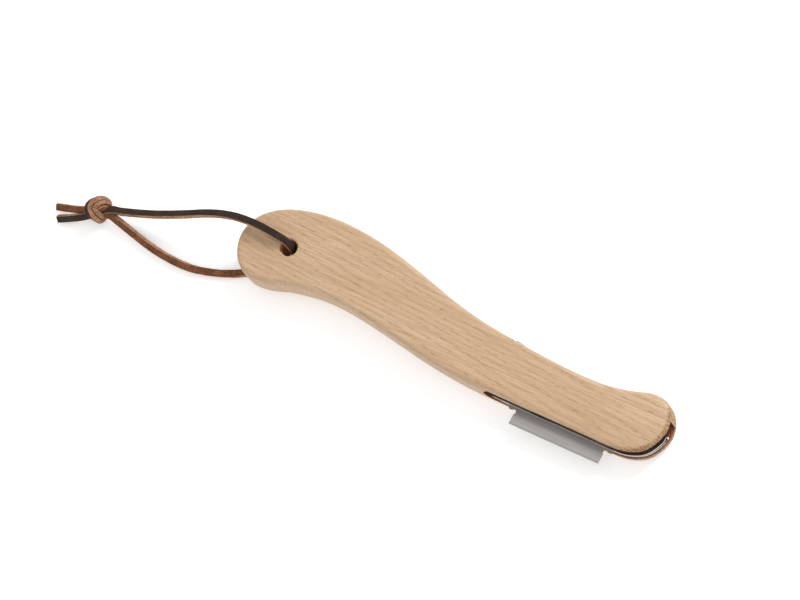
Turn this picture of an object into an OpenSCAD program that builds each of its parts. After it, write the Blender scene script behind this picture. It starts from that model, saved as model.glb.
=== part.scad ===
// Bread lame: a dough-scoring knife with an oak handle, a folded steel clip that holds a
// double-edge razor blade in a pocket in the handle's lower edge, and a leather lanyard.
//
// Frame: +Z up, the knife lies on its back face on the plane Z = 0. +X runs from the lanyard
// end to the blade end, and +Y from the cutting edge to the upper edge. The origin is the centre
// of the box of handle, clip and blade, on the plane that it lies on.
// The lanyard's lower strand passes under the handle, so the handle leans up by lie_tilt.

/* [Handle] */
// Thickness of the oak board
handle_t = 10; // [8:0.5:16]
// Radius of the rounded edges
edge_r = 2.5; // [1:0.1:4]
// Lean of the handle on the strand below it, in degrees
lie_tilt = 0.85; // [0:0.1:2]
// Diameter of the lanyard hole
hole_d = 6.6; // [4:0.5:10]
// Radius of the rounded rims of the lanyard hole
hole_rim_r = 1.3; // [0:0.1:2]

/* [Pocket] */
// Width of the pocket across the handle's thickness
pocket_w = 5.2; // [3:0.1:6]
// Height of the pocket's middle above the back face
pocket_z = 6.4; // [4:0.1:7]
// End of the pocket nearest the lanyard
pocket_x = 27.2; // [20:0.1:40]
// Floor of the pocket above the clip
pocket_floor_y = 0.7; // [0:0.1:3]
// Length of the window that the tab comes through
window_l = 7.6; // [6:0.1:12]

/* [Blade clip] */
// Thickness of the clip's sheet
clip_t = 0.5; // [0.3:0.05:0.8]
// Outer width of the folded spine
spine_w = 2.5; // [1.5:0.1:3.5]
// Height of the spine's outer face
spine_y = 0.4; // [-1:0.1:2]
// Height where the two leaves close on the blade
pinch_y = -15.4; // [-16:0.1:-4]
// Gap between the closed leaves
leaf_gap = 0.2; // [0.12:0.02:0.4]
// End of the clip nearest the lanyard
clip_x0 = 27.9; // [27:0.1:32]
// End of the clip at the tip
clip_x1 = 96.5; // [90:0.1:97]
// Height of the blade's plane above the back face
clip_z = 5.35; // [4:0.05:7]
// How far the leaves' edge lies inside the handle's edge
clip_inset = 0.3; // [0:0.1:1]
// Width of the push tab
tab_w = 5.6; // [4:0.1:8]
// Height of the push tab's upper corner
tab_y = 6.7; // [5:0.1:10]

/* [Razor blade] */
// Overall length of the blade
blade_l = 43; // [40:0.1:45]
// Overall width of the blade
blade_w = 22; // [20:0.1:24]
// Thickness of the blade
blade_t = 0.1; // [0.08:0.01:0.2]
// Length of each cutting edge
blade_edge_l = 37.4; // [35:0.1:42]
// Depth of the corner notches
blade_notch = 5; // [3:0.1:6]
// Centre of the blade along the handle
blade_x = 59.8; // [50:0.1:70]
// Height of the exposed cutting edge
blade_edge_y = -22.4; // [-24:0.1:-20]

/* [Lanyard] */
// Width of the leather lace
lace_w = 3; // [2:0.1:4]
// Thickness of the leather lace
lace_t = 2.5; // [1.5:0.1:3]
// Diameter of the knot
knot_d = 10.4; // [7:0.1:12]
// Length of the knot
knot_l = 9.6; // [6:0.1:12]

/* [Hidden] */
$fn = 64;

oak_colour = [0.83, 0.70, 0.56];
steel_colour = [0.72, 0.72, 0.70];
blade_colour = [0.62, 0.60, 0.58];
dark_leather_colour = [0.20, 0.15, 0.13];
tan_leather_colour = [0.55, 0.34, 0.22];

mid_z = handle_t / 2;
over = 5;   // how far a cut runs past what it cuts

// Points that the handle's closed outline passes through, from the lanyard end along the lower
// edge to the tip and back along the upper edge.
outline_points = [
    [-97.3, 3.6], [-95.7, -3.5], [-91, -9.5], [-84, -12.9], [-76, -12.5], [-66, -9.7],
    [-52, -7.9], [-38, -8.4], [-20, -10.9], [0, -14.1], [20, -16], [44, -16.3],
    [66, -16.4], [80, -16.5], [87.5, -15.6], [93, -12.8], [96.3, -7.5], [97.3, -1.9],
    [95.5, 3.4], [91.6, 7.1], [85.6, 7.9], [77.5, 5.7], [68, 4.1], [57, 3.9], [44, 4.6],
    [30, 5.9], [14, 7.8], [-2, 11.1], [-20, 16], [-38, 20.2], [-52, 22.1], [-65, 22.4],
    [-77, 20.8], [-87.2, 17.3], [-94.4, 11.4]];
outline_steps = 4;      // points made on each span of the outline
round_steps = 4;        // facets on each rounded edge
tip_rest_x = 94.9;      // where the back face touches the surface at the tip

hole_at = [-74, 4.1];
hole_r = hole_d / 2;

clip_fold_x = clip_x0 + tab_w + 0.8;    // the fold starts beside the tab
clip_corner_r = 4;
clip_slope_from = [84, spine_y];        // the clip's upper edge slopes down to the tip
clip_slope_to = [95.8, -3.4];
clip_slope = clip_slope_to - clip_slope_from;
tab_slope = 7;
tab_corner_r = 1;

blade_slot_l = 26;
blade_slot_w = 2.4;
blade_hole_d = 5;
blade_hole_pitch = 10;

// Centreline of the lanyard, by hand: out of the knot, over the handle's face and down the hole,
// then back along the surface under the handle to the knot.
upper_route = [
    [-163.5, -9, 5.3], [-157.5, -7.7, 5.4], [-149.5, -5.7, 5.9], [-141.3, -3.6, 6.9],
    [-133, -1.3, 8.4], [-124.5, 1.1, 10.4], [-116.3, 3.5, 12.5], [-108, 5.4, 14.3],
    [-99.4, 6.5, 15.6], [-90.8, 6.7, 16.1], [-84, 6.4, 15.5], [-79.2, 6, 14.8],
    [-75.9, 5.7, 13.3], [-74.3, 5.1, 11.1], [-74, 4.8, 8.4]];
lower_route = [
    [-74, 4.8, 8.4], [-73.8, 4.4, 5.8], [-73.8, 3.8, 3.4], [-75.2, 2.3, 1.7], [-78.8, -0.2, 1.25],
    [-84, -4, 1.25], [-89.5, -7.6, 1.25], [-96, -11.1, 1.25], [-104, -14.1, 1.4],
    [-113.6, -16.4, 1.7], [-122.2, -16.9, 1.9], [-131.2, -16.4, 2.1], [-140.8, -15, 2.5],
    [-151, -12.9, 3.1], [-157.2, -11.6, 3.5], [-163.5, -10.6, 3.9]];
upper_tail_route = [[-173.5, -12.7, 4.9], [-177.4, -13.6, 4.2], [-181.5, -14.4, 3.4],
                    [-185.8, -15.1, 2.6], [-189.8, -15.8, 2.1]];
lower_tail_route = [[-172.8, -14.7, 3.9], [-176, -16.2, 3.3], [-179.5, -17.6, 2.7],
                    [-183, -19, 2.3], [-186.3, -20.3, 2]];
knot_at = [-168.4, -10.9, 5.2];
knot_heading = 200.5;    // direction from the strands to the tails

// ---- curves ----

function unit(v) = v / norm(v);

// Catmull-Rom point between b and c, with neighbours a and d.
function spline_at(a, b, c, d, t) =
    0.5 * (2 * b + (c - a) * t + (2 * a - 5 * b + 4 * c - d) * t * t
           + (3 * b - a - 3 * c + d) * t * t * t);

// Closed curve through points, with steps points on each span.
function closed_curve(points, steps) =
    let (n = len(points))
    [for (i = [0 : n - 1], s = [0 : steps - 1])
        spline_at(points[(i + n - 1) % n], points[i], points[(i + 1) % n],
                  points[(i + 2) % n], s / steps)];

// The closed curve moved inwards by inset, along its own normals.
function inset_curve(curve, inset) =
    let (n = len(curve))
    [for (i = [0 : n - 1])
        let (along = unit(curve[(i + 1) % n] - curve[(i + n - 1) % n]))
        curve[i] + inset * [-along[1], along[0]]];

outline = closed_curve(outline_points, outline_steps);

// Solid between rings of points: each ring has the same number of points.
module skin(rings) {
    count = len(rings[0]);
    last = (len(rings) - 1) * count;
    polyhedron(
        points = [for (ring = rings) each ring],
        faces = concat(
            [[for (i = [0 : count - 1]) i]],
            [for (k = [0 : len(rings) - 2], i = [0 : count - 1])
                let (a = k * count + i, b = k * count + (i + 1) % count)
                each [[a, a + count, b], [b, a + count, b + count]]],
            [[for (i = [count - 1 : -1 : 0]) last + i]]));
}

// Rectangular lace with eased corners, swept along a route.
module lace(route) {
    ease = 0.4;
    half_w = lace_w / 2;
    half_t = lace_t / 2;
    section = [[half_w, half_t - ease], [half_w - ease, half_t], [ease - half_w, half_t],
               [-half_w, half_t - ease], [-half_w, ease - half_t], [ease - half_w, -half_t],
               [half_w - ease, -half_t], [half_w, ease - half_t]];
    last = len(route) - 1;
    skin([for (i = [0 : last])
        let (along = unit(route[min(i + 1, last)] - route[max(i - 1, 0)]),
             side = unit([0, 1, 0] - along[1] * along),
             top = cross(along, side))
        [for (s = section) route[i] + s[0] * side + s[1] * top]]);
}

// ---- handle ----

// Puts what is drawn lying flat onto the strand under the lanyard end.
module lean() {
    translate([tip_rest_x, 0, 0])
        rotate([0, lie_tilt, 0])
            translate([-tip_rest_x, 0, 0])
                children();
}

// Ring that rounds one edge: it is cut from the face at Z = 0 and leaves an arc of edge_r.
module edge_rounder() {
    clear = 1;          // the ring stands this far outside the board
    lap = 0.02;         // the arc starts and ends this far outside the board's faces
    arc = [for (k = [0 : round_steps])
        let (a = 90 * k / round_steps)
        [edge_r * (1 - cos(a)) - lap, edge_r * (sin(a) - 1) + lap]];
    section = concat([[-clear, -edge_r]], arc, [[edge_r, clear], [-clear, clear]]);
    rings = [for (s = section)
        [for (p = inset_curve(outline, s[0])) [p[0], p[1], s[1]]]];
    count = len(outline);
    levels = len(rings);
    polyhedron(
        points = [for (ring = rings) each ring],
        faces = [for (k = [0 : levels - 1], i = [0 : count - 1])
            let (next = (k + 1) % levels, j = (i + 1) % count,
                 a = k * count + i, b = k * count + j, c = next * count + i, d = next * count + j)
            each [[a, b, c], [b, d, c]]]);
}

// The board with its edges rounded all round.
module handle_blank() {
    difference() {
        linear_extrude(handle_t)
            polygon(outline);
        translate([0, 0, handle_t])
            edge_rounder();
        mirror([0, 0, 1])
            edge_rounder();
    }
}

// Half profile of the rounded rim: the rim opens upwards to the face at height 0.
module rim_profile() {
    polygon(concat(
        [[0, -hole_rim_r]],
        [for (a = [0 : 30 : 90])
            [hole_r + hole_rim_r * (1 - cos(a)), hole_rim_r * (sin(a) - 1)]],
        [[hole_r + hole_rim_r, over], [0, over]]));
}

// The lanyard's hole with both its rims, turned as one solid.
module lanyard_hole() {
    translate([hole_at[0], hole_at[1], mid_z])
        rotate_extrude() {
            translate([0, -mid_z - over])
                square([hole_r, handle_t + 2 * over]);
            for (side = [0, 1])
                mirror([0, side])
                    translate([0, mid_z])
                        rim_profile();
        }
}

// Slot with round ends across the thickness, cut along Y from y0 to y1.
module edge_slot(x0, x1, y0, y1) {
    end_r = pocket_w / 2;
    translate([x0 + end_r, y0, pocket_z - end_r])
        cube([x1 - x0 - 2 * end_r, y1 - y0, pocket_w]);
    for (x = [x0 + end_r, x1 - end_r])
        translate([x, y0, pocket_z])
            rotate([-90, 0, 0])
                cylinder(h = y1 - y0, r = end_r);
}

// Pocket for the clip: open along the lower edge and round the tip.
module pocket() {
    slot_end = 110;
    edge_slot(pocket_x, slot_end, -30, pocket_floor_y);
}

module tab_window() {
    edge_slot(pocket_x, pocket_x + window_l, 0, 12);
}

module handle() {
    color(oak_colour)
        lean()
            difference() {
                handle_blank();
                lanyard_hole();
                pocket();
                tab_window();
            }
}

// ---- clip and blade ----

// Half section of the clip, in (Y, Z) with the blade's plane at Z = 0: the leaf leaves the
// spine's bend and closes on the blade.
module leaf_section() {
    low_y = -20;
    bend_y = spine_y - spine_w / 2;
    bend_in = spine_w / 2 - clip_t;
    polygon([[bend_y, bend_in], [bend_y, spine_w / 2],
             [pinch_y, leaf_gap / 2 + clip_t], [low_y, leaf_gap / 2 + clip_t],
             [low_y, leaf_gap / 2], [pinch_y, leaf_gap / 2]]);
}

module spine_section() {
    bend_y = spine_y - spine_w / 2;
    difference() {
        translate([bend_y, 0])
            circle(spine_w / 2);
        translate([bend_y, 0])
            circle(spine_w / 2 - clip_t);
        translate([bend_y - spine_w, -spine_w])
            square([spine_w, 2 * spine_w]);
    }
}

// Extrudes a (Y, Z) section along X.
module along_x(x0, x1) {
    translate([x0, 0, clip_z])
        rotate([90, 0, 90])
            linear_extrude(x1 - x0)
                children();
}

// Outline of the leaves: the handle's own outline, a little inside it, with a rounded corner
// below the tab and the upper edge sloping down to the tip.
module leaf_outline() {
    linear_extrude(handle_t)
        difference() {
            polygon(inset_curve(outline, clip_inset));
            translate([clip_x0 - over, -20])
                difference() {
                    square([over + clip_corner_r, 4 + clip_corner_r]);
                    translate([over + clip_corner_r, 4 + clip_corner_r])
                        circle(clip_corner_r);
                }
            polygon([clip_slope_from, clip_slope_from + 2 * clip_slope,
                     clip_slope_from + 2 * clip_slope + [0, 20], clip_slope_from + [0, 20]]);
        }
}

// Web that joins the leaves along the sloping edge.
module end_web() {
    half_w = spine_w / 2 - 0.15;
    down = clip_t * [clip_slope[1], -clip_slope[0]] / norm(clip_slope);
    translate([0, 0, clip_z - half_w])
        linear_extrude(2 * half_w)
            polygon([clip_slope_from, clip_slope_from + 2 * clip_slope,
                     clip_slope_from + 2 * clip_slope + down, clip_slope_from + down]);
}

// Push tab, in the plane of the front leaf.
module push_tab() {
    root_y = spine_y - spine_w / 2 - 0.5;
    low_corner_y = tab_y - tab_w * tan(tab_slope);
    translate([0, 0, clip_z + spine_w / 2 - clip_t])
        linear_extrude(clip_t) {
            polygon([[clip_x0, root_y], [clip_x0 + tab_w, root_y],
                     [clip_x0 + tab_w, low_corner_y - tab_corner_r],
                     [clip_x0 + tab_w - tab_corner_r, low_corner_y],
                     [clip_x0 + tab_corner_r, tab_y],
                     [clip_x0, tab_y - tab_corner_r]]);
        }
}

module blade_clip() {
    color(steel_colour)
        lean()
            union() {
                intersection() {
                    union() {
                        along_x(clip_x0, clip_x1)
                            leaf_section();
                        along_x(clip_fold_x, clip_x1)
                            mirror([0, 1])
                                leaf_section();
                        along_x(clip_fold_x, clip_x1)
                            spine_section();
                        end_web();
                    }
                    leaf_outline();
                }
                push_tab();
            }
}

// Double-edge blade: notched corners, and the long slot and three holes that razors locate it by.
module blade_outline() {
    notch_l = (blade_l - blade_edge_l) / 2;
    notch_r = 0.9;
    difference() {
        square([blade_l, blade_w], center = true);
        for (sx = [-1, 1], sy = [-1, 1])
            translate([sx * blade_l / 2, sy * blade_w / 2])
                square([2 * notch_l, 2 * blade_notch], center = true);
        for (sx = [-1, 1], sy = [-1, 1])
            translate([sx * (blade_edge_l / 2 + notch_r / 2),
                       sy * (blade_w / 2 - blade_notch + notch_r / 2)])
                circle(notch_r);
        square([blade_slot_l, blade_slot_w], center = true);
        for (k = [-1 : 1])
            translate([k * blade_hole_pitch, 0])
                circle(d = blade_hole_d);
    }
}

module razor_blade() {
    color(blade_colour)
        lean()
            translate([blade_x, blade_edge_y + blade_w / 2, clip_z - blade_t / 2])
                linear_extrude(blade_t)
                    blade_outline();
}

// ---- lanyard ----

module lace_upper() {
    color(dark_leather_colour)
        lace(upper_route);
}

module lace_lower() {
    color(tan_leather_colour)
        lace(lower_route);
}

// Barrel of the overhand knot, with flat ends where the strands and tails meet it.
module lace_knot() {
    end_r = knot_d / 2 - 1.4;
    color(tan_leather_colour)
        translate(knot_at)
            rotate([0, 90, knot_heading])
                rotate_extrude()
                    polygon([[0, -knot_l / 2], [end_r, -knot_l / 2], [knot_d / 2, -knot_l / 4],
                             [knot_d / 2, knot_l / 4], [end_r, knot_l / 2], [0, knot_l / 2]]);
}

module lace_tail_upper() {
    color(tan_leather_colour)
        lace(upper_tail_route);
}

module lace_tail_lower() {
    color(dark_leather_colour)
        lace(lower_tail_route);
}

handle();
blade_clip();
razor_blade();
lace_upper();
lace_lower();
lace_knot();
lace_tail_upper();
lace_tail_lower();
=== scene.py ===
import math

import bmesh
import bpy
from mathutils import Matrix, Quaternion, Vector, noise


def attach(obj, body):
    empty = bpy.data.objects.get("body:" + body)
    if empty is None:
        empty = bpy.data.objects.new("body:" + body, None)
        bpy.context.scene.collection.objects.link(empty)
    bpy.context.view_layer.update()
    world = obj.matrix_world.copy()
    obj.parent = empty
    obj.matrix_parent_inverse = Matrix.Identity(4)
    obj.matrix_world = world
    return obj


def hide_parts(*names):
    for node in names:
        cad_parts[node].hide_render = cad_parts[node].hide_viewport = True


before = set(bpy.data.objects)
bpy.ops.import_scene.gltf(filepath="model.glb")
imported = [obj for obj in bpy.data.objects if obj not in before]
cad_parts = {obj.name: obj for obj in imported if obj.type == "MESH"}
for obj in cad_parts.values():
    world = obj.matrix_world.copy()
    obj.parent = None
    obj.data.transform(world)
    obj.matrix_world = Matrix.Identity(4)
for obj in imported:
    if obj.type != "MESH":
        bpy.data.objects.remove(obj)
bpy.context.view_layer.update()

MM = 0.001
Z_UP = Vector((0, 0, 1))


# ---- places repeated from the CAD source, in millimetres ----

LIE_TILT = math.radians(0.85)         # the knife lies on its tip and on the lace under its head
TIP_REST_X = 94.9                     # the tilt turns about this line
POCKET_W = 5.2
POCKET_Z = 6.4
POCKET_X = 27.2
POCKET_FLOOR_Y = 0.7
HOLE_AT = (-74, 4.1)
HOLE_RIM = 4.6                        # radius out to where the rounded rim ends
BLADE_EDGE_Y = -22.4
BLADE_W = 22
LACE_W = 3
LACE_T = 2.5
KNOT_AT = Vector((-168.4, -10.9, 5.2))
KNOT_HEADING = math.radians(20.5)     # direction from the knot towards the strands

UPPER_ROUTE = [
    (-163.5, -9, 5.3), (-157.5, -7.7, 5.4), (-149.5, -5.7, 5.9), (-141.3, -3.6, 6.9),
    (-133, -1.3, 8.4), (-124.5, 1.1, 10.4), (-116.3, 3.5, 12.5), (-108, 5.4, 14.3),
    (-99.4, 6.5, 15.6), (-90.8, 6.7, 16.1), (-84, 6.4, 15.5), (-79.2, 6, 14.8),
    (-75.9, 5.7, 13.3), (-74.3, 5.1, 11.1), (-74, 4.8, 8.4)]
LOWER_ROUTE = [
    (-74, 4.8, 8.4), (-73.8, 4.4, 5.8), (-73.8, 3.8, 3.4), (-75.2, 2.3, 1.7), (-78.8, -0.2, 1.25),
    (-84, -4, 1.25), (-89.5, -7.6, 1.25), (-96, -11.1, 1.25), (-104, -14.1, 1.4),
    (-113.6, -16.4, 1.7), (-122.2, -16.9, 1.9), (-131.2, -16.4, 2.1), (-140.8, -15, 2.5),
    (-151, -12.9, 3.1), (-157.2, -11.6, 3.5), (-163.5, -10.6, 3.9)]
UPPER_TAIL_ROUTE = [(-173.5, -12.7, 4.9), (-177.4, -13.6, 4.2), (-181.5, -14.4, 3.4),
                    (-185.8, -15.1, 2.6), (-189.8, -15.8, 2.1)]
LOWER_TAIL_ROUTE = [(-172.8, -14.7, 3.9), (-176, -16.2, 3.3), (-179.5, -17.6, 2.7),
                    (-183, -19, 2.3), (-186.3, -20.3, 2)]


# ---- camera ----

def place_camera():
    """The camera looks down from the blade end, turned about its own axis as well."""
    azimuth = math.radians(-23.41)
    elevation = math.radians(57.99)
    roll = math.radians(39.93)
    target = Vector((-21.86, 3.3, 8)) * MM
    distance = 0.7499
    back = Vector((math.cos(azimuth) * math.cos(elevation),
                   math.sin(azimuth) * math.cos(elevation),
                   math.sin(elevation)))
    data = bpy.data.cameras.new("camera")
    data.lens = 90
    data.sensor_width = 36
    camera = bpy.data.objects.new("camera", data)
    camera.location = target + back * distance
    camera.rotation_mode = "QUATERNION"
    camera.rotation_quaternion = back.to_track_quat("Z", "Y") @ Quaternion((0, 0, 1), -roll)
    bpy.context.scene.collection.objects.link(camera)
    bpy.context.scene.camera = camera


# ---- helpers ----

def catmull_rom(a, b, c, d, t):
    """The point at t, from 0 to 1, between b and c."""
    return 0.5 * (2 * b + (c - a) * t + (2 * a - 5 * b + 4 * c - d) * t * t
                  + (3 * b - a - 3 * c + d) * t * t * t)


def spline(points, per_span):
    """Catmull-Rom curve through points, with per_span steps on each span."""
    p = [Vector(q) for q in points]
    p = [2 * p[0] - p[1]] + p + [2 * p[-1] - p[-2]]
    made = []
    for a, b, c, d in zip(p, p[1:], p[2:], p[3:]):
        made += [catmull_rom(a, b, c, d, k / per_span) for k in range(per_span)]
    return made + [p[-2]]


def closed_spline(points, per_span):
    """The same curve, closed."""
    p = [Vector(q) for q in points]
    n = len(p)
    made = []
    for i in range(n):
        a, b, c, d = p[i - 1], p[i], p[(i + 1) % n], p[(i + 2) % n]
        made += [catmull_rom(a, b, c, d, k / per_span) for k in range(per_span)]
    return made


def new_object(name, mesh):
    piece = bpy.data.objects.new(name, mesh)
    bpy.context.scene.collection.objects.link(piece)
    return piece


# ---- materials ----

class Nodes:
    """Builds one material's nodes."""

    def __init__(self, name):
        self.material = bpy.data.materials.new(name)
        self.material.use_nodes = True
        self.tree = self.material.node_tree
        self.shader = self.tree.nodes["Principled BSDF"]

    def add(self, kind, inputs=None, **settings):
        node = self.tree.nodes.new(kind)
        for key, value in settings.items():
            setattr(node, key, value)
        for key, value in (inputs or {}).items():
            self.feed(node.inputs[key], value)
        return node

    def feed(self, socket, value):
        if isinstance(value, bpy.types.NodeSocket):
            self.tree.links.new(value, socket)
        else:
            socket.default_value = value

    def place(self, scale, turn=(0, 0, 0)):
        """Object coordinates, turned and then scaled."""
        coords = self.add("ShaderNodeTexCoord")
        mapping = self.add("ShaderNodeMapping", {"Vector": coords.outputs["Object"],
                                                 "Rotation": turn, "Scale": scale})
        return mapping.outputs["Vector"]

    def axes(self, vector):
        """The vector's X, Y and Z outputs."""
        return self.add("ShaderNodeSeparateXYZ", {"Vector": vector}).outputs

    def position(self):
        """Object coordinates in metres, split into axes."""
        return self.axes(self.place((1, 1, 1)))

    def facing(self):
        """The surface's direction in object coordinates, split into axes."""
        return self.axes(self.add("ShaderNodeTexCoord").outputs["Normal"])

    def noise(self, vector, scale=1.0, detail=4.0, rough=0.5):
        node = self.add("ShaderNodeTexNoise", {"Vector": vector, "Scale": scale,
                                               "Detail": detail, "Roughness": rough})
        return node.outputs["Fac"]

    def math(self, operation, a, b=0.0):
        node = self.add("ShaderNodeMath", operation=operation)
        self.feed(node.inputs[0], a)
        self.feed(node.inputs[1], b)
        return node.outputs[0]

    def times(self, a, b):
        return self.math("MULTIPLY", a, b)

    def between(self, value, low, high, to_low=0.0, to_high=1.0):
        """to_low at low and to_high at high, eased in between and level outside."""
        node = self.add("ShaderNodeMapRange", {"Value": value, "From Min": low,
                                               "From Max": high, "To Min": to_low,
                                               "To Max": to_high},
                        interpolation_type="SMOOTHSTEP")
        return node.outputs["Result"]

    def mix(self, factor, a, b):
        node = self.add("ShaderNodeMix", data_type="RGBA")
        self.feed(node.inputs["Factor"], factor)
        self.feed(node.inputs["A"], a)
        self.feed(node.inputs["B"], b)
        return node.outputs["Result"]

    def bump(self, height, strength, distance):
        node = self.add("ShaderNodeBump", {"Height": height, "Strength": strength,
                                           "Distance": distance})
        self.feed(self.shader.inputs["Normal"], node.outputs["Normal"])

    def surface(self, **values):
        for key, value in values.items():
            self.feed(self.shader.inputs[key.replace("_", " ")], value)
        return self.material


def rgb(red, green, blue):
    """Linear colour from sRGB bytes."""
    def linear(v):
        v = v / 255
        return v / 12.92 if v <= 0.04045 else ((v + 0.055) / 1.055) ** 2.4
    return (linear(red), linear(green), linear(blue), 1.0)


GRAIN_TURN = (0, 0, math.radians(6.5))    # the grain runs down to the tip's lower corner
# Noise scales per metre: along the grain, across it, and through the board.
WARP_SCALE = (7, 60, 60)
PORE_SCALE = (340, 2700, 2700)
FINE_PORE_SCALE = (500, 4400, 4400)
STREAK_SCALE = (26, 1700, 1700)
CLOUD_SCALE = (12, 70, 70)
END_PORE_SCALE = (1300, 1300, 1300)
RINGS_PER_METRE = 430.0
RING_WARP = 4.5                           # how many rings the warp moves them by
RING_ACROSS = 0.9
RING_THROUGH = 0.42

OAK_PALE = rgb(210, 181, 149)
OAK_DEEP = rgb(202, 171, 138)
OAK_STREAK = rgb(183, 149, 115)
OAK_EARLY = rgb(179, 145, 111)
OAK_PORE = rgb(132, 96, 67)
# painted shade: the greyer, darker colour of the long edges
OAK_SIDE_SHADE = rgb(183, 161, 141)
# end grain colour with painted shade of the tip's rounded edge
OAK_END_AND_SHADE = rgb(174, 139, 105)
OAK_END_PORE = rgb(98, 64, 40)
# painted shade: pores of the oak in the pocket and the hole
RECESS_SHADE_PORE = rgb(60, 32, 22)


def growth_bands(n):
    """1 in the porous part of each growth ring, 0 in the rest."""
    board = n.axes(n.place((1, 1, 1), GRAIN_TURN))
    warp = n.noise(n.place(WARP_SCALE, GRAIN_TURN), detail=2)
    across = n.math("ADD", n.times(board["Y"], RING_ACROSS), n.times(board["Z"], RING_THROUGH))
    ring = n.math("ADD", n.times(across, RINGS_PER_METRE), n.times(warp, RING_WARP))
    phase = n.math("FRACT", ring)
    return n.times(n.between(phase, 0.0, 0.15), n.between(phase, 0.6, 0.25))


def oak_pores(n, bands):
    """Long pores, most of them in the growth bands, and finer ones everywhere."""
    coarse = n.between(n.noise(n.place(PORE_SCALE, GRAIN_TURN), detail=2, rough=0.6), 0.54, 0.64)
    fine = n.between(n.noise(n.place(FINE_PORE_SCALE, GRAIN_TURN), detail=2), 0.54, 0.66)
    return n.math("MAXIMUM", n.times(coarse, n.between(bands, 0.0, 1.0, 0.2, 1.0)),
                  n.times(fine, 0.5))


def oak_streaks(n):
    return n.noise(n.place(STREAK_SCALE, GRAIN_TURN), detail=5, rough=0.65)


def oak_clouds(n):
    return n.noise(n.place(CLOUD_SCALE, GRAIN_TURN), detail=3)


def tip_end_grain_and_shade(n, facing):
    """1 where the rounded edge of the tip cuts across the grain, 0 elsewhere. It marks the end
    grain and the painted shade of this edge, which faces away from the light.
    """
    cut = n.math("SUBTRACT", n.times(facing["X"], 0.9), n.times(facing["Y"], 0.4))
    near_tip = n.between(n.position()["X"], 0.076, 0.088)
    return n.times(n.between(cut, 0.1, 0.4), near_tip)


def oak():
    """Planed oak, with painted shade that makes the long edges greyer and darker, and end grain
    at the tip, darkened further with painted shade.
    """
    n = Nodes("oak")
    bands = growth_bands(n)
    pores = oak_pores(n, bands)
    streak = oak_streaks(n)
    facing = n.facing()
    # painted shade on the long edges, by which way the surface faces
    side = n.between(n.math("ABSOLUTE", facing["Y"]), 0.35, 0.9, 0.0, 0.5)
    end = tip_end_grain_and_shade(n, facing)
    end_pores = n.between(n.noise(n.place(END_PORE_SCALE), detail=2), 0.46, 0.58)
    base = n.mix(n.between(oak_clouds(n), 0.35, 0.65), OAK_PALE, OAK_DEEP)
    base = n.mix(n.between(streak, 0.35, 0.66, 0.0, 0.75), base, OAK_STREAK)
    base = n.mix(n.times(bands, 0.3), base, OAK_EARLY)
    base = n.mix(n.times(pores, 0.42), base, OAK_PORE)
    base = n.mix(side, base, OAK_SIDE_SHADE)
    # the tip's rounded edge darkened with painted shade; the pores below are real end grain
    base = n.mix(n.times(end, 0.85), base, OAK_END_AND_SHADE)
    base = n.mix(n.times(end, n.times(end_pores, 0.55)), base, OAK_END_PORE)
    n.bump(n.math("SUBTRACT", n.times(streak, 0.35), pores), 0.35, 0.00012)
    return n.surface(Base_Color=base, Roughness=n.between(streak, 0.3, 0.7, 0.55, 0.7),
                     Specular_IOR_Level=0.3)


def shaded_recess_oak(name, pale, deep):
    """Oak darkened with painted shade, in the pocket and in the lanyard hole."""
    n = Nodes(name)
    pores = oak_pores(n, growth_bands(n))
    streak = oak_streaks(n)
    base = n.mix(n.between(oak_clouds(n), 0.3, 0.7), pale, deep)
    base = n.mix(n.between(streak, 0.35, 0.7, 0.0, 0.6), base, deep)
    base = n.mix(n.times(pores, 0.5), base, RECESS_SHADE_PORE)
    n.bump(n.math("SUBTRACT", streak, pores), 0.4, 0.00015)
    return n.surface(Base_Color=base, Roughness=0.78, Specular_IOR_Level=0.25)


# painted shade: darker oak on the pocket's floor
def shaded_recess_floor():
    return shaded_recess_oak("shaded_recess_floor", rgb(138, 84, 54), rgb(104, 58, 38))


# painted shade: darker oak on the pocket's walls and in the lanyard hole
def shaded_recess_wall():
    return shaded_recess_oak("shaded_recess_wall", rgb(178, 122, 82), rgb(138, 88, 58))


def clip_steel():
    """Folded strip: bright cut edges, and flat faces darkened with painted shade and a painted
    dark reflection of the pocket.
    """
    shade_below_fold = (-0.001, -0.0018)       # the painted shade on the flat faces starts here, in metres along Y
    shade_above_edge = (-0.0158, -0.0155)      # and ends here
    n = Nodes("clip_steel")
    brushed = n.noise(n.place((30, 2500, 2500)), rough=0.6)
    smear = n.noise(n.place((70, 70, 70)), detail=3)
    flat = n.between(n.math("ABSOLUTE", n.facing()["Z"]), 0.75, 0.95)
    y = n.position()["Y"]
    pocket_shade_and_reflection = n.times(n.times(flat, n.between(y, *shade_below_fold)), n.between(y, *shade_above_edge))
    base = n.mix(n.between(brushed, 0.35, 0.65), rgb(214, 212, 208), rgb(238, 236, 232))
    # painted shade and dark reflection on the flat faces
    base = n.mix(n.times(pocket_shade_and_reflection, 0.85), base, rgb(98, 87, 81))
    n.bump(brushed, 0.15, 0.00003)
    return n.surface(Base_Color=base, Metallic=n.between(flat, 0.0, 1.0, 0.55, 1.0),
                     Roughness=n.between(smear, 0.3, 0.7, 0.26, 0.4))


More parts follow.
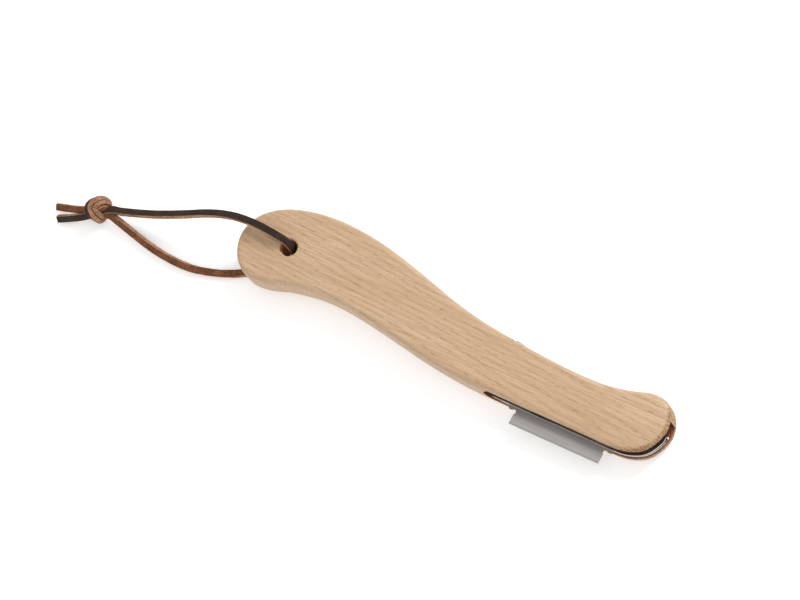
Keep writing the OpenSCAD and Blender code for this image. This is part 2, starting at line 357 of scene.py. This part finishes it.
def blade_steel():
    """Strip steel with a ground bevel along each cutting edge, and painted shadow of the handle
    near the clip.
    """
    # painted shadow of the handle: full within the second distance, gone beyond the first
    handle_shadow_reach = (0.0083, 0.0068)                 # distances from the blade's long axis, in metres
    bevel_start = (0.01012, 0.01022)
    edge_start = (0.01082, 0.01088)
    centre_y = (BLADE_EDGE_Y + BLADE_W / 2) * MM
    n = Nodes("blade_steel")
    rolled = n.noise(n.place((40, 2000, 2000)), rough=0.6)
    film = n.noise(n.place((60, 60, 60)), detail=3)
    from_centre = n.math("ABSOLUTE", n.math("SUBTRACT", n.position()["Y"], centre_y))
    smear = n.math("ADD", from_centre, n.times(film, 0.0006))
    base = n.mix(n.between(rolled, 0.35, 0.65), rgb(182, 178, 173), rgb(194, 190, 185))
    # painted shadow of the handle on the blade beside the clip
    base = n.mix(n.between(smear, *handle_shadow_reach), base, rgb(158, 151, 148))
    base = n.mix(n.times(n.between(from_centre, *bevel_start), 0.5), base, rgb(165, 163, 160))
    base = n.mix(n.between(from_centre, *edge_start), base, rgb(120, 118, 116))
    n.bump(rolled, 0.1, 0.00002)
    return n.surface(Base_Color=base, Metallic=0.85,
                     Roughness=n.between(film, 0.3, 0.7, 0.42, 0.55))


def leather(name, tones, roughness, fibre, gloss, relief):
    """Leather of two tones and darker spots, with pores or fibres of a size in metres."""
    n = Nodes(name)
    low, high, spots = (rgb(*tone) for tone in tones)
    cloud = n.noise(n.place((220, 220, 220)))
    grain = n.noise(n.place((1 / fibre,) * 3), detail=5, rough=0.65)
    base = n.mix(n.between(cloud, 0.35, 0.65), low, high)
    base = n.mix(n.between(grain, 0.48, 0.64, 0.0, 0.8), base, spots)
    n.bump(grain, relief, fibre * 0.6)
    return n.surface(Base_Color=base, Roughness=n.between(grain, 0.3, 0.7, *roughness),
                     Specular_IOR_Level=gloss)


def dark_leather():
    """The smooth grain side."""
    return leather("dark_leather", ((56, 44, 39), (66, 53, 46), (38, 29, 26)),
                   roughness=(0.6, 0.75), fibre=0.0005, gloss=0.08, relief=0.35)


def cut_leather():
    """The pale sides where the lace was cut from its hide."""
    return leather("cut_leather", ((176, 137, 109), (150, 110, 84), (96, 64, 46)),
                   roughness=(0.75, 0.9), fibre=0.0006, gloss=0.1, relief=0.9)


def flesh_leather():
    """The rough brown back."""
    return leather("flesh_leather", ((132, 88, 62), (110, 71, 49), (74, 45, 31)),
                   roughness=(0.8, 0.95), fibre=0.0007, gloss=0.1, relief=0.9)


# ---- lanyard, in millimetres ----

GRAIN_FACE = 0
CUT_FACE = 1
FLESH_FACE = 2
LACE_CORNER = 0.45          # how far in from its corner the lace starts to curve
LACE_CHAMFER = 0.13
LACE_CROWN = 1.04           # how much higher a face is in its middle
EDGE_CROWN = 1.02
ROUGH_ROOM = 0.06           # kept free for the rough surface
COARSE_ROUGH = 0.07
FINE_ROUGH = 0.03

# Turns about the path in degrees, at equal steps from the hole to the tail's end. The dark
# grain face looks down at 0 and up at 180.
UPPER_ROLLS = [176] * 3 + [178] * 4 + [180, 182] + [184] * 5 + [165] + [125] * 5
LOWER_ROLLS = [0, 0, 0, -4, -22, -32, -38, -40, -38, -32, -34]

STRAND_STEPS = 8            # samples on each span of a route
KNOT_STEPS = 9

KNOT_LACE_W = 2.9
KNOT_LACE_T = 2.3
KNOT_LEAN = math.radians(58)
KNOT_SHIFT = -0.3
KNOT_SCALE = (0.86, 0.8, 0.86)
# Points of one turn about KNOT_AT: along the strands, across them, and up.
KNOT_LOOP = [(3.4, 1.6, -3.3), (4.4, 3.8, -1.4), (3.2, 4.2, 1.2), (0.8, 3.2, 3.1),
             (-1.5, 1.0, 3.9), (-1.9, -1.3, 3.6), (-0.6, -3.4, 2.2), (0.9, -4.1, -0.2),
             (1.2, -3.3, -2.4), (2.0, -1.2, -3.5)]


def lace_section(width, thick):
    """The lace's outline, from the top face round: (across, up, face)."""
    w = width / 2
    t = thick / 2 - ROUGH_ROOM
    e = LACE_CORNER
    c = LACE_CHAMFER
    return [(w - e, t, GRAIN_FACE), (0, t * LACE_CROWN, GRAIN_FACE), (e - w, t, GRAIN_FACE),
            (c - w, t - c, CUT_FACE), (-w, t - e, CUT_FACE), (-w * EDGE_CROWN, 0, CUT_FACE),
            (-w, e - t, CUT_FACE), (c - w, c - t, FLESH_FACE), (e - w, -t, FLESH_FACE),
            (0, -t * LACE_CROWN, FLESH_FACE), (w - e, -t, FLESH_FACE), (w - c, c - t, CUT_FACE),
            (w, e - t, CUT_FACE), (w * EDGE_CROWN, 0, CUT_FACE), (w, t - e, CUT_FACE),
            (w - c, t - c, GRAIN_FACE)]


def roughness_at(point, seed):
    """How far the leather stands out or in at a point."""
    coarse = noise.noise(point * 0.9 + Vector((seed, 0, 0))) * COARSE_ROUGH
    return coarse + noise.noise(point * 3.1 + Vector((seed, 5, 0))) * FINE_ROUGH


def lace_mesh(name, path, sides, rolls, seed, closed=False, width=LACE_W, thick=LACE_T):
    """Lace swept along path. sides gives the width direction at each point and rolls the turn
    from it in radians."""
    mesh = bpy.data.meshes.new(name)
    bm = bmesh.new()
    section = lace_section(width, thick)
    n = len(path)
    rings = []
    for i, p in enumerate(path):
        before = path[i - 1] if closed or i else path[0]
        after = path[(i + 1) % n] if closed or i < n - 1 else path[-1]
        along = (after - before).normalized()
        side = (sides[i] - along * sides[i].dot(along)).normalized()
        top = along.cross(side)
        c, s = math.cos(rolls[i]), math.sin(rolls[i])
        side, top = side * c + top * s, top * c - side * s
        ring = []
        for x, y, _ in section:
            q = p + side * x + top * y
            q = q + (side * x + top * y).normalized() * roughness_at(q, seed)
            ring.append(bm.verts.new(q * MM))
        rings.append(ring)
    pairs = list(zip(rings, rings[1:])) + ([(rings[-1], rings[0])] if closed else [])
    m = len(section)
    for a, b in pairs:
        for k in range(m):
            j = (k + 1) % m
            face = bm.faces.new((a[k], a[j], b[j], b[k]))
            face.material_index = section[k][2]
            face.smooth = True
    if not closed:
        for ring in (rings[0], list(reversed(rings[-1]))):
            cap = bm.faces.new(ring)
            cap.material_index = CUT_FACE
    bmesh.ops.recalc_face_normals(bm, faces=bm.faces)
    bm.to_mesh(mesh)
    bm.free()
    for material in LEATHERS:
        mesh.materials.append(material)
    return mesh


def eased(values, n):
    """Values given at equal steps along the path, eased to n samples."""
    made = []
    for i in range(n):
        t = i / (n - 1) * (len(values) - 1)
        k = min(int(t), len(values) - 2)
        u = t - k
        u = u * u * (3 - 2 * u)
        made.append(values[k] * (1 - u) + values[k + 1] * u)
    return made


def build_strand(name, route, tail, nodes, rolls, seed):
    """One run of the lace: from the hole to the knot, through it and out as a tail."""
    path = spline(route + tail, STRAND_STEPS)
    sides = [Vector((0, 1, 0))] * len(path)
    turn = eased([math.radians(r) for r in rolls], len(path))
    piece = new_object(name, lace_mesh(name, path, sides, turn, seed))
    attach(piece, "handle")
    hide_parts(*nodes)


def knot_frame():
    """The knot's own directions: along the strands, across them, and up."""
    along = Vector((math.cos(KNOT_HEADING), math.sin(KNOT_HEADING), 0))
    return along, Z_UP.cross(along), Z_UP


def knot_turn(size):
    """One turn of KNOT_LOOP round the strands. size scales it across them, not along them."""
    along, across, up = knot_frame()
    long, wide, high = KNOT_SCALE
    points = []
    for a, b, c in KNOT_LOOP:
        sideways = (across * b * wide + up * c * high) * size
        points.append(KNOT_AT + along * (a * long + KNOT_SHIFT) + sideways)
    return closed_spline(points, KNOT_STEPS)


def knot_strip(name, path, offset, seed):
    """A closed strip of lace leaning back towards the tails, moved along its own thickness."""
    along = knot_frame()[0]
    n = len(path)
    shifted = []
    sides = []
    for i, p in enumerate(path):
        tangent = (path[(i + 1) % n] - path[i - 1]).normalized()
        towards_tails = (-along + tangent * tangent.dot(along)).normalized()
        outward = towards_tails.cross(tangent).normalized()
        if outward.dot(p - KNOT_AT) < 0:
            outward = -outward
        thick_way = towards_tails * math.cos(KNOT_LEAN) + outward * math.sin(KNOT_LEAN)
        shifted.append(p + thick_way * offset)
        sides.append(thick_way.cross(tangent).normalized())
    return lace_mesh(name, shifted, sides, [0.0] * n, seed, closed=True,
                     width=KNOT_LACE_W, thick=KNOT_LACE_T)


def build_knot():
    """Two strips of lace turned side by side round the strands, over a smaller inner turn."""
    strips = [knot_strip("knot_outer", knot_turn(1.0), offset=0.9, seed=3.0),
              knot_strip("knot_middle", knot_turn(1.0), offset=-1.45, seed=11.0),
              knot_strip("knot_inner", knot_turn(0.42), offset=-1.2, seed=19.0)]
    bm = bmesh.new()
    for mesh in strips:
        bm.from_mesh(mesh)
    joined = bpy.data.meshes.new("lanyard_knot")
    bm.to_mesh(joined)
    bm.free()
    for mesh in strips:
        bpy.data.meshes.remove(mesh)
    for material in LEATHERS:
        joined.materials.append(material)
    knot = new_object("lanyard_knot", joined)
    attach(knot, "handle")
    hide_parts("lace_knot")
    return knot


def build_lanyard():
    knot = build_knot()
    build_strand("lanyard_upper", list(reversed(UPPER_ROUTE)), LOWER_TAIL_ROUTE,
                 ["lace_upper", "lace_tail_lower"], UPPER_ROLLS, seed=1.0)
    build_strand("lanyard_lower", LOWER_ROUTE, UPPER_TAIL_ROUTE,
                 ["lace_lower", "lace_tail_upper"], LOWER_ROLLS, seed=7.0)


# ---- handle ----

BOARD = 0
# materials 1 and 2 are oak with painted shade
POCKET_FLOOR = 1
POCKET_WALL = 2
WELD = 0.002 * MM
CREASE = math.radians(32)
FACE_SLOPE = 0.7            # the board's front and back point up or down more than this
LEVEL = 0.99                # and the pocket's walls more than this
WINDOW_REACH = 9            # the window ends this far from the pocket's start


def upright(point):
    """A point of the lying knife, put back into the board's own level frame, in millimetres."""
    p = Vector(point) / MM - Vector((TIP_REST_X, 0, 0))
    c, s = math.cos(-LIE_TILT), math.sin(-LIE_TILT)
    return Vector((p.x * c + p.z * s + TIP_REST_X, p.y, p.z * c - p.x * s))


def surface_of(face):
    """BOARD, POCKET_FLOOR or POCKET_WALL. The hole gets the walls' painted shade."""
    p = upright(face.calc_center_median())
    from_hole = math.hypot(p.x - HOLE_AT[0], p.y - HOLE_AT[1])
    if from_hole < HOLE_RIM and abs(face.normal.z) < FACE_SLOPE:
        return POCKET_WALL
    if p.x < POCKET_X - 0.1 or abs(p.z - POCKET_Z) > POCKET_W / 2 + 0.01:
        return BOARD
    if abs(face.normal.z) > LEVEL:
        return POCKET_WALL
    faces_down = p.y > -1 and face.normal.y < -0.9 and p.y < POCKET_FLOOR_Y + 0.1
    faces_tip = p.x < POCKET_X + POCKET_W / 2 and face.normal.x > 0.01
    beside_window = p.y > 0 and p.x < POCKET_X + WINDOW_REACH and face.normal.y < 0.5
    return POCKET_FLOOR if faces_down or faces_tip or beside_window else BOARD


def build_handle():
    """The CAD board with its faces welded, shaded smooth and given three materials: oak, and oak
    with painted shade in the pocket and the hole.
    """
    bm = bmesh.new()
    bm.from_mesh(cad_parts["handle"].data)
    bmesh.ops.remove_doubles(bm, verts=bm.verts, dist=WELD)
    bm.normal_update()
    for face in bm.faces:
        face.smooth = True
        face.material_index = surface_of(face)
    mesh = bpy.data.meshes.new("oak_handle")
    bm.to_mesh(mesh)
    bm.free()
    for material in (oak(), shaded_recess_floor(), shaded_recess_wall()):
        mesh.materials.append(material)
    mesh.set_sharp_from_angle(angle=CREASE)
    handle = new_object("oak_handle", mesh)
    weighted = handle.modifiers.new("even_shading", "WEIGHTED_NORMAL")
    weighted.mode = "FACE_AREA"
    weighted.weight = 100
    weighted.keep_sharp = True
    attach(handle, "handle")
    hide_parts("handle")


# ---- clip and blade ----

def paint_node(name, material):
    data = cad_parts[name].data
    data.materials.clear()
    data.materials.append(material)


# ---- room ----

def build_floor():
    bpy.ops.mesh.primitive_plane_add(size=6)
    floor = bpy.context.object
    floor.name = "floor"
    n = Nodes("floor")
    haze = n.noise(n.place((3, 3, 3)), detail=2)
    floor.data.materials.append(n.surface(
        Base_Color=n.mix(haze, (0.93, 0.93, 0.93, 1), (0.95, 0.95, 0.95, 1)),
        Roughness=0.9, Specular_IOR_Level=0.0,
        Emission_Color=(1, 1, 1, 1), Emission_Strength=0.3))


def build_sky():
    world = bpy.data.worlds.new("studio")
    world.use_nodes = True
    background = world.node_tree.nodes["Background"]
    background.inputs["Color"].default_value = (1, 1, 1, 1)
    background.inputs["Strength"].default_value = 0.715
    bpy.context.scene.world = world


def add_light(name, place, target, size, power):
    data = bpy.data.lights.new(name, "AREA")
    data.shape = "DISK"
    data.size = size
    data.energy = power
    lamp = bpy.data.objects.new(name, data)
    lamp.location = place
    lamp.rotation_mode = "QUATERNION"
    lamp.rotation_quaternion = (Vector(place) - Vector(target)).to_track_quat("Z", "Y")
    bpy.context.scene.collection.objects.link(lamp)


def build_room():
    build_floor()
    build_sky()
    add_light("key", place=(0.25, 0.75, 0.6), target=(-0.03, 0, 0), size=0.35, power=6.2)
    add_light("fill", place=(0.1, -0.8, 0.35), target=(0, 0, 0), size=0.7, power=1.5)
    bpy.context.scene.view_settings.view_transform = "Standard"


place_camera()
LEATHERS = [dark_leather(), cut_leather(), flesh_leather()]    # in the order of the FACE numbers
build_lanyard()
build_handle()
paint_node("blade_clip", clip_steel())
paint_node("razor_blade", blade_steel())
build_room()
